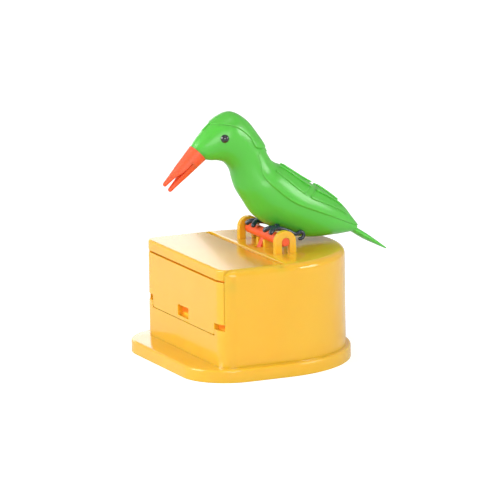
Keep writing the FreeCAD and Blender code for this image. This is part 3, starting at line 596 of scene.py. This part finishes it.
def prong(side):
    """One prong, whose section is the outer part of the cone's circle, cut by the groove's flat.

    Towards the tip it changes to a circle of its own, and ends in a half round.
    """
    end = (BEAK_TIP_RADIUS - FORK / 2) / 2 / BEAK_LENGTH
    dome = 1 - end + end * np.sin(np.linspace(0.02, 0.99, DOME_ROWS) * math.pi / 2)
    shares = np.concatenate([np.linspace(GROOVE_START_SHARE, 1 - end, PRONG_ROWS), dome])
    turn = np.linspace(0, 2 * math.pi, PRONG_COLUMNS, endpoint=False)[None]
    cone = beak_radius(shares)
    opening = np.clip((shares - FORK_START_SHARE) / FORK_SHARE, 0, 1)
    half_gap = (GROOVE / 2 + (FORK - GROOVE) / 2 * opening)[:, None]
    centre = (cone + half_gap) / 2
    to_cone = -centre * np.cos(turn) + np.sqrt(cone**2 - (centre * np.sin(turn)) ** 2)
    to_flat = (half_gap - centre) / np.minimum(np.cos(turn), FLAT_COSINE)
    reach = np.minimum(to_cone, np.where(np.cos(turn) < FLAT_COSINE, to_flat, 1))
    roundness = step_up(shares, ROUND_START_SHARE, ROUND_END_SHARE)[:, None]
    reach = reach + ((cone - half_gap) / 2 - reach) * roundness
    reach *= np.sqrt(1 - np.clip((shares - 1 + end) / end, 0, 1) ** 2)[:, None]
    return beak_points(shares, reach * np.sin(turn), side * (centre + reach * np.cos(turn)))


seat_shares = np.linspace(0, GROOVE_START_SHARE, SEAT_ROWS)
seat_turn = np.linspace(0, 2 * math.pi, SEAT_COLUMNS, endpoint=False)[None]
seat_radius = beak_radius(seat_shares)
seat = beak_points(seat_shares, seat_radius * np.sin(seat_turn), seat_radius * np.cos(seat_turn))
beak_mesh = joined("beak", [
    grid_mesh("beak_seat", seat, round_columns=True, poles=(0, -1)),
    grid_mesh("beak_prong_front", prong(1), round_columns=True, poles=(0, -1)),
    grid_mesh("beak_prong_rear", prong(-1), round_columns=True, poles=(0, -1)),
])
beak_mesh.set_sharp_from_angle(angle=BEAK_SHARP_ANGLE)
show(beak_mesh, "beak", "bird", orange_beak)

# Eyes: two polished black beads, one on either side of the head.
# Each is a moulded plastic bead, pressed into its socket from outside.
BLACK = (0.006, 0.006, 0.008)
BLACK_SOFT = (0.012, 0.012, 0.016)
eye_black = plastic("eye_black", BLACK, BLACK_SOFT, roughness=0.10, coat=1.0, grain=0.01)
for side in ("left", "right"):
    moulded_copy("eye_" + side, "bird", eye_black, rounding=0)

# Feet: dark navy mouldings with two stubby toes over the bar, and a hind toe with a hooked claw.
# Each is one plastic piece, pressed into the belly by a short leg that leans in under the body.
NAVY = (0.012, 0.022, 0.045)
NAVY_SOFT = (0.018, 0.032, 0.060)
FOOT_SIDE, PERCH_Y = 7.5 * MM, 6.9 * MM
# places along each bar of a left foot, from the perch's axis: out to its side, back and up, in mm
TOE_PLACES = [(0.0, 0.6, 3.4), (1.2, -1.2, 3.4), (2.3, -2.5, 2.8), (2.9, -3.2, 1.9)]
HIND_PLACES = [
    (0.0, -0.4, 3.3), (0.0, 1.4, 3.2), (0.0, 3.2, 2.7), (0.0, 5.6, 1.7), (0.0, 7.5, 0.7),
]
LEG_PLACES = [(0.0, 1.2, 3.2), (-1.6, 1.6, 3.7), (-4.2, 2.2, 5.0)]
CLAW_BACK, CLAW_UP, CLAW_ARCH = 9.8, -0.1, 1.25
CLAW_TURNS = np.radians([140, 95, 45, 0, -45, -90, -130])
# radius of each bar at its start and its end
TOE_THICK, HIND_THICK = (0.90 * MM, 0.86 * MM), (0.92 * MM, 0.60 * MM)
LEG_THICK = (0.85 * MM, 0.85 * MM)
TOE_ROWS, HIND_ROWS, TOE_ROUND = 48, 110, 20
navy_gloss = plastic("navy_gloss", NAVY, NAVY_SOFT, roughness=0.26, coat=0.4)


def foot_bar(middle, places, mirror, thick, rows=TOE_ROWS):
    """One bar of a foot, from its places in mm."""
    places = middle + np.array(places) * mirror * MM
    return bar(run_through(places, np.linspace(0, len(places) - 1, rows)), *thick, TOE_ROUND)


def foot(side):
    """Two front toes, the leaning leg, and the hind toe whose claw runs on as most of a circle."""
    middle = np.array([side * FOOT_SIDE, PERCH_Y, PERCH_Z])
    claw = [
        (0.0, CLAW_BACK + CLAW_ARCH * math.cos(turn), CLAW_UP + CLAW_ARCH * math.sin(turn))
        for turn in CLAW_TURNS
    ]
    toes = [foot_bar(middle, TOE_PLACES, (splay, 1, 1), TOE_THICK) for splay in (-1, 1)]
    hind = foot_bar(middle, HIND_PLACES + claw, (side, 1, 1), HIND_THICK, rows=HIND_ROWS)
    leg = foot_bar(middle, LEG_PLACES, (side, 1, 1), LEG_THICK)
    return joined("foot", toes + [hind, leg])


for side, label in ((1, "left"), (-1, "right")):
    show(foot(side), "foot_" + label, "bird", navy_gloss)

# Room: a pale floor and a white surround, with softboxes in front, at the side, above and behind.
# The low one behind is what the polished flap mirrors towards the camera.
TARGET = Vector((0, -5.5 * MM, 40 * MM))
FLOOR_REACH, FLOOR_GLOW, FLOOR_SCALE = 3.0, 0.5, 3.0
FLOOR_DARK, FLOOR_PALE = (0.76, 0.76, 0.76), (0.78, 0.78, 0.78)
SURROUND_LIGHT, SURROUND_SEEN = 0.45, 1.0
# each softbox: its name, place, width and height in metres, and power in watts
SOFTBOXES = [
    ("key", (-0.35, -1.30, 0.60), 1.0, 0.8, 16.5),
    ("side", (1.30, -0.30, 0.45), 1.0, 0.7, 8.5),
    ("over", (0.30, 0.10, 1.15), 0.60, 0.50, 1.0),
    ("rear_right", (0.72, 0.98, 0.50), 0.55, 0.45, 5.5),
    ("low_back", (-1.34, 0.12, 0.30), 0.9, 0.45, 1.9),
]


def room_floor():
    """A pale floor that stays white to the camera but keeps the object's shadow."""
    finish = Finish("floor")
    tone = finish.noise(FLOOR_SCALE)
    seen = finish.node("LightPath", {}, output="Is Camera Ray")
    matt = finish.node("BsdfDiffuse", {"Color": finish.between(tone, FLOOR_DARK, FLOOR_PALE)})
    glow = finish.node("Emission", {"Color": (1, 1, 1, 1), "Strength": seen * FLOOR_GLOW})
    both = finish.node("AddShader", {0: matt, 1: glow})
    finish.node("OutputMaterial", {"Surface": both})
    mesh = bpy.data.meshes.new("floor")
    sides = ((-1, -1), (1, -1), (1, 1), (-1, 1))
    corners = [(x * FLOOR_REACH, y * FLOOR_REACH, 0) for x, y in sides]
    mesh.from_pydata(corners, [], [(0, 1, 2, 3)])
    mesh.materials.append(finish.material)
    floor = bpy.data.objects.new("floor", mesh)
    bpy.context.scene.collection.objects.link(floor)


def softbox(name, place, width, height, power):
    """A soft rectangular light that faces the object."""
    lamp = bpy.data.lights.new(name, "AREA")
    lamp.shape = "RECTANGLE"
    lamp.size, lamp.size_y, lamp.energy = width, height, power
    light = bpy.data.objects.new(name, lamp)
    light.location = place
    light.rotation_euler = (TARGET - Vector(place)).to_track_quat("-Z", "Y").to_euler()
    bpy.context.scene.collection.objects.link(light)


def surround():
    """The air around: white to the camera, and an even soft light for everything else."""
    world = bpy.data.worlds.new("surround")
    bpy.context.scene.world = world
    world.use_nodes = True
    nodes, links = world.node_tree.nodes, world.node_tree.links
    nodes.clear()
    path = nodes.new("ShaderNodeLightPath")
    soft, white = nodes.new("ShaderNodeBackground"), nodes.new("ShaderNodeBackground")
    for background, strength in ((soft, SURROUND_LIGHT), (white, SURROUND_SEEN)):
        background.inputs["Strength"].default_value = strength
        background.inputs["Color"].default_value = (1, 1, 1, 1)
    mix, end = nodes.new("ShaderNodeMixShader"), nodes.new("ShaderNodeOutputWorld")
    links.new(path.outputs["Is Camera Ray"], mix.inputs[0])
    links.new(soft.outputs[0], mix.inputs[1])
    links.new(white.outputs[0], mix.inputs[2])
    links.new(mix.outputs[0], end.inputs["Surface"])


room_floor()
surround()
for settings in SOFTBOXES:
    softbox(*settings)

# Camera: a long lens from the front right, a little above the deck, as in the photograph.
AZIMUTH, ELEVATION, ROLL, DISTANCE = 65.77, 11.76, -0.90, 2180.01 * MM
LENS, SENSOR, SHIFT_X, SHIFT_Y, CLIP_NEAR, CLIP_FAR = 442.5, 36.0, 0.0304, -0.006, 0.1, 20.0
azimuth, elevation, roll = (math.radians(angle) for angle in (AZIMUTH, ELEVATION, ROLL))
ahead = Vector((
    -math.sin(azimuth) * math.cos(elevation),
    math.cos(azimuth) * math.cos(elevation),
    -math.sin(elevation),
))
level_right = Vector((math.cos(azimuth), math.sin(azimuth), 0))
level_up = level_right.cross(ahead)
right = math.cos(roll) * level_right + math.sin(roll) * level_up
upward = math.cos(roll) * level_up - math.sin(roll) * level_right
camera_data = bpy.data.cameras.new("camera")
camera_data.lens, camera_data.sensor_width = LENS, SENSOR
camera_data.shift_x, camera_data.shift_y = SHIFT_X, SHIFT_Y
camera_data.clip_start, camera_data.clip_end = CLIP_NEAR, CLIP_FAR
camera = bpy.data.objects.new("camera", camera_data)
turn = Matrix((right, upward, -ahead)).transposed().to_4x4()
camera.matrix_world = Matrix.Translation(TARGET - DISTANCE * ahead) @ turn
bpy.context.scene.collection.objects.link(camera)
bpy.context.scene.camera = camera
bpy.context.scene.view_settings.view_transform = "Standard"
